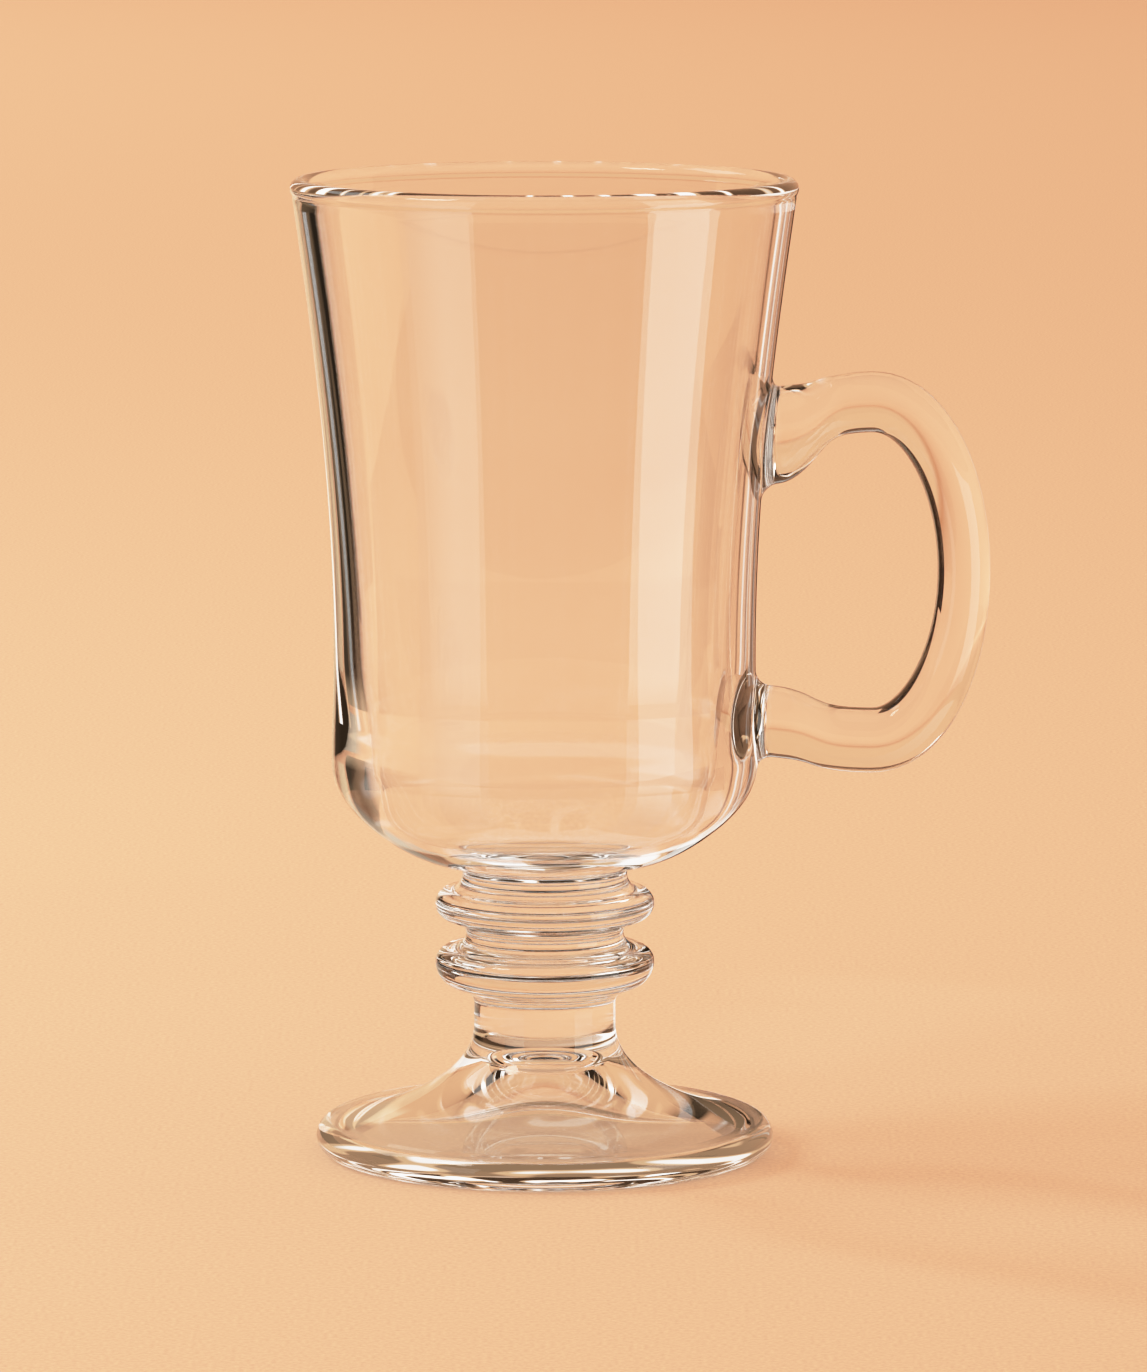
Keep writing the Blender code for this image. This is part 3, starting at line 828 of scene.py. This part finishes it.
# Name, stops, rows, the light that sees the card and the studio's colour for it
CARDS = (
    ("left_softbox", LEFT_BOX, BOX_ROWS, FRONT_SHINE, "white_card"),
    ("right_softbox", RIGHT_BOX, BOX_ROWS, FRONT_SHINE, "white_card"),
    ("left_softbox_foot", LEFT_BOX, BOX_FOOT_ROWS, FRONT_SHINE, "white_card"),
    ("right_softbox_foot", RIGHT_BOX, BOX_FOOT_ROWS, FRONT_SHINE, "white_card"),
    ("key_softbox", ((-135, 2.5, 1), (-92, 3.5, 1)), ((0.55, 0.4, 1), (0.5, 0.75, 1)), FEW_WALLS,
     "white_card"),
    ("key_core", ((-76, 10, 1), (-52, 10, 1)), ((0.5, 0.55, 1), (0.45, 0.75, 1)), FEW_WALLS, "white_card"),
    ("right_flag", ((95, 0, 1), (137, 0, 1)), ((0.42, 0, 1), (0.42, 0.75, 1)), ONE_BODY, "white_card"),
    ("right_low_flag", ((95, 0, 1), (127, 0, 1)), ((0.08, LYING, 1), (0.42, LYING, 1)), ONE_BODY,
     "white_card"),
    ("high_flag", ((-180, 0, 1), (180, 0, 1)), ((1.0, 1.0, 1), (0.05, 1.9, 1)), ONE_BODY, "white_card"),
    ("left_far_flag", LEFT_FLAG, ((0.4, 0, 1), (0.4, 0.13, 1)), WELL_INSIDE, "white_card"),
    ("left_stripes", LEFT_STRIPES, STRIPE_ROWS, FRONT_SHINE, "warm_card"),
    ("left_fade", LEFT_FADE, FADE_ROWS, FRONT_SHINE, "warm_card"),
    ("left_table_glow", LEFT_GLOW, GLOW_ROWS, FRONT_SHINE, "table_card"),
    ("right_table_glow", RIGHT_GLOW, GLOW_ROWS, FRONT_SHINE, "white_card"),
    ("right_stripes", RIGHT_STRIPES, ((0.13, 0, 1), (0.3, 0.13, 1)), FRONT_SHINE, "white_card"),
    ("dark_front_floor", ((-110, 0, 1), (110, 0, 1)), ((0.17, 0.003, 1), (0.45, 0.003, 1)), MIRRORED,
     "white_card"),
    ("dark_front_room", ((-100, 0, 1), (100, 0, 1)), ((0.5, 0.2, 1), (0.5, 1.5, 1)), OUTSIDE_SHINE,
     "white_card"),
    ("pale_ceiling", ((-180, 1, 1), (180, 1, 1)), ((3.0, 2.4, 1), (0.5, 6.0, 1)), MANY_WALLS,
     "ceiling_card"),
)
CARD_COLUMNS = 90
SWEEP_COLUMNS = 128
SWEEP_ROWS = 40
SWEEP_STEP = 0.05


def card(name, stops, rows, seen_by, colour):
    """A curved card round the mug: strips of cones whose glow and cover change from stop to stop."""
    stops = np.array(stops, float)
    rows = np.array(rows, float)
    turn = np.linspace(stops[0, 0], stops[-1, 0], CARD_COLUMNS + 1)
    glow = rows[:, 2:] * np.interp(turn, stops[:, 0], stops[:, 1])
    cover = np.interp(turn, stops[:, 0], stops[:, 2])
    turn = np.radians(turn)
    points = np.stack([AXIS_X + rows[:, :1] * np.sin(turn), -rows[:, :1] * np.cos(turn),
                       np.broadcast_to(rows[:, 1:2], glow.shape)], axis=-1).reshape(-1, 3)
    grid = np.arange(len(points)).reshape(glow.shape)
    quads = np.stack([grid[:-1, :-1], grid[:-1, 1:], grid[1:, 1:], grid[1:, :-1]], axis=-1)
    piece = mesh_object(name, points, quads.reshape(-1, 4))
    for layer_name, values in (("glow", glow), ("cover", np.broadcast_to(cover, glow.shape))):
        layer = piece.data.attributes.new(layer_name, "FLOAT", "POINT")
        layer.data.foreach_set("value", values.astype(np.float32).ravel())
    piece.data.materials.append(lit_card(name, colour, seen_by))
    piece.visible_camera = False
    piece.visible_diffuse = False
    piece.visible_shadow = False
    piece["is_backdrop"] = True


def paper_sweep(studio):
    """The paper's floor, upward bend and wall: a section carried all round the mug.

    The floor's radii grow as squares, so that its rows are closest together under the mug.
    """
    floor = np.linspace(0, 1, SWEEP_ROWS) ** 2 * studio.sweep_radius
    line = np.concatenate([
        np.stack([floor, np.zeros_like(floor)], axis=-1)[1:],
        arc((studio.sweep_radius, studio.sweep_bend), studio.sweep_bend, DOWN, OUT, SWEEP_STEP)[1:],
        [(studio.sweep_radius + studio.sweep_bend, studio.sweep_height)],
    ])
    points = carried_round(line, SWEEP_COLUMNS)
    grid = np.arange(len(points)).reshape(-1, SWEEP_COLUMNS)
    middle = fan(len(points), grid[0])
    points = np.concatenate([points, [(AXIS_X, 0, 0)]])
    return mesh_object("paper_sweep", points, ring_quads(grid).reshape(-1, 4), middle)


def new_light(name, kind, power, colour):
    """A light that shows in no reflection and through no glass."""
    lamp = bpy.data.lights.new(name, kind)
    lamp.energy = power
    lamp.color = colour[:3]
    lamp.cycles.use_multiple_importance_sampling = False
    light = bpy.data.objects.new(name, lamp)
    bpy.context.scene.collection.objects.link(light)
    light.visible_camera = False
    light.visible_glossy = False
    light.visible_transmission = False
    return light


def soft_light(name, place, target, size, power, colour):
    """A square area light that points at a place."""
    light = new_light(name, "AREA", power, colour)
    light.data.size = size
    light.location = place
    light.rotation_euler = (target - light.location).to_track_quat("-Z", "Y").to_euler()


def sun_light(name, towards, angle, power, colour):
    """An even light from one side of the room, soft by its wide angle."""
    light = new_light(name, "SUN", power, colour)
    light.data.angle = angle
    light.rotation_euler = Vector(towards).to_track_quat("Z", "Y").to_euler()


def photo_camera(scene, studio):
    """The camera at the photograph's place, with its long lens."""
    camera = bpy.data.objects.new("camera", bpy.data.cameras.new("camera"))
    scene.collection.objects.link(camera)
    camera.location = (AXIS_X + studio.camera_shift, -studio.camera_distance, studio.camera_height)
    camera.rotation_euler = (UP - studio.camera_pitch, 0, 0)
    camera.data.lens = studio.lens
    scene.camera = camera


# Brightness in the scene that shows as white, and pairs of brightness in the scene and as shown
WHITE_LEVEL = 3.0
SHOULDER = ((0.3, 0.3), (0.6, 0.585), (0.8, 0.72), (1.0, 0.825), (1.3, 0.905), (1.8, 0.96))


def soft_shoulder(view):
    """Show dark tones as they are and press bright ones together towards white, as film does."""
    view.view_transform = "Standard"
    view.use_curve_mapping = True
    mapping = view.curve_mapping
    mapping.white_level = (WHITE_LEVEL, WHITE_LEVEL, WHITE_LEVEL)
    curve = mapping.curves[3].points
    curve[-1].location = (1.0, 1.0)
    for scene_value, shown in SHOULDER:
        curve.new(scene_value / WHITE_LEVEL, shown)
    mapping.update()


def light_limits(cycles):
    """Let light through the many surfaces of glass and cards, and end it at the paper."""
    cycles.max_bounces = 64
    cycles.diffuse_bounces = 0
    cycles.transmission_bounces = 24
    cycles.glossy_bounces = 48
    cycles.transparent_max_bounces = 32


class MUG_OT_glass(bpy.types.Operator):
    """Make the mug's body of clear glass"""
    bl_idname = "mug.glass"
    bl_label = "Glass body"

    def execute(self, context):
        points, quads, triangles = glass_surface(context.scene.mug)
        body = mesh_object("mug_glass", points, quads, triangles)
        body.data.materials.append(pressed_glass(context.scene.mug.looks))
        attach(body, "root")
        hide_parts("bowl", "stem", "foot", "handle")
        return {"FINISHED"}


class MUG_OT_stage(bpy.types.Operator):
    """Make the paper sweep, the studio's cards and lights and the camera"""
    bl_idname = "mug.stage"
    bl_label = "Studio"

    def execute(self, context):
        scene = context.scene
        studio = scene.mug_studio
        paper = paper_sweep(studio)
        paper.data.materials.append(peach_paper(studio))
        paper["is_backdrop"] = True
        for name, stops, rows, seen_by, colour in CARDS:
            card(name, stops, rows, seen_by, getattr(studio, colour))
        lamp_size = 0.6
        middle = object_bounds()[0].lerp(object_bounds()[1], 0.5)
        far_floor = Vector((0, 4.5, 0))
        soft_light("key_light", (-1.4, 0, 1.0), middle, lamp_size, studio.key_power, studio.lamp)
        soft_light("back_light", (-3.0, 2.4, 3.0), far_floor, lamp_size, studio.back_power, studio.lamp)
        sun_light("sky_light", (0, 0, 1), math.radians(120), studio.sky_strength, studio.lamp)
        scene.world = bpy.data.worlds.new("dark_studio")
        scene.world.color = (0, 0, 0)
        photo_camera(scene, studio)
        soft_shoulder(scene.view_settings)
        light_limits(scene.cycles)
        return {"FINISHED"}


class MUG_PT_sidebar(bpy.types.Panel):
    """Lists the steps that build the mug and the settings that they follow"""
    bl_idname = "MUG_PT_sidebar"
    bl_label = "Footed glass mug"
    bl_space_type = "VIEW_3D"
    bl_region_type = "UI"
    bl_category = "Glass Mug"

    def draw(self, context):
        mug = context.scene.mug
        self.layout.operator(MUG_OT_glass.bl_idname)
        self.layout.operator(MUG_OT_stage.bl_idname)
        for group in (mug.bowl, mug.stem, mug.foot, mug.handle, mug.fineness, mug.looks,
                      context.scene.mug_studio):
            box = self.layout.box()
            for name in type(group).__annotations__:
                box.prop(group, name)


CLASSES = (BowlSizes, StemSizes, FootSizes, HandleSizes, MeshFineness, GlassLooks, MugSettings,
           StudioSettings, MUG_OT_glass, MUG_OT_stage, MUG_PT_sidebar)


def register():
    for each in CLASSES:
        bpy.utils.register_class(each)
    bpy.types.Scene.mug = PointerProperty(type=MugSettings)
    bpy.types.Scene.mug_studio = PointerProperty(type=StudioSettings)


def unregister():
    del bpy.types.Scene.mug_studio
    del bpy.types.Scene.mug
    for each in reversed(CLASSES):
        bpy.utils.unregister_class(each)


def main():
    register()
    bpy.ops.mug.glass()
    bpy.ops.mug.stage()


if __name__ == "__main__":
    main()
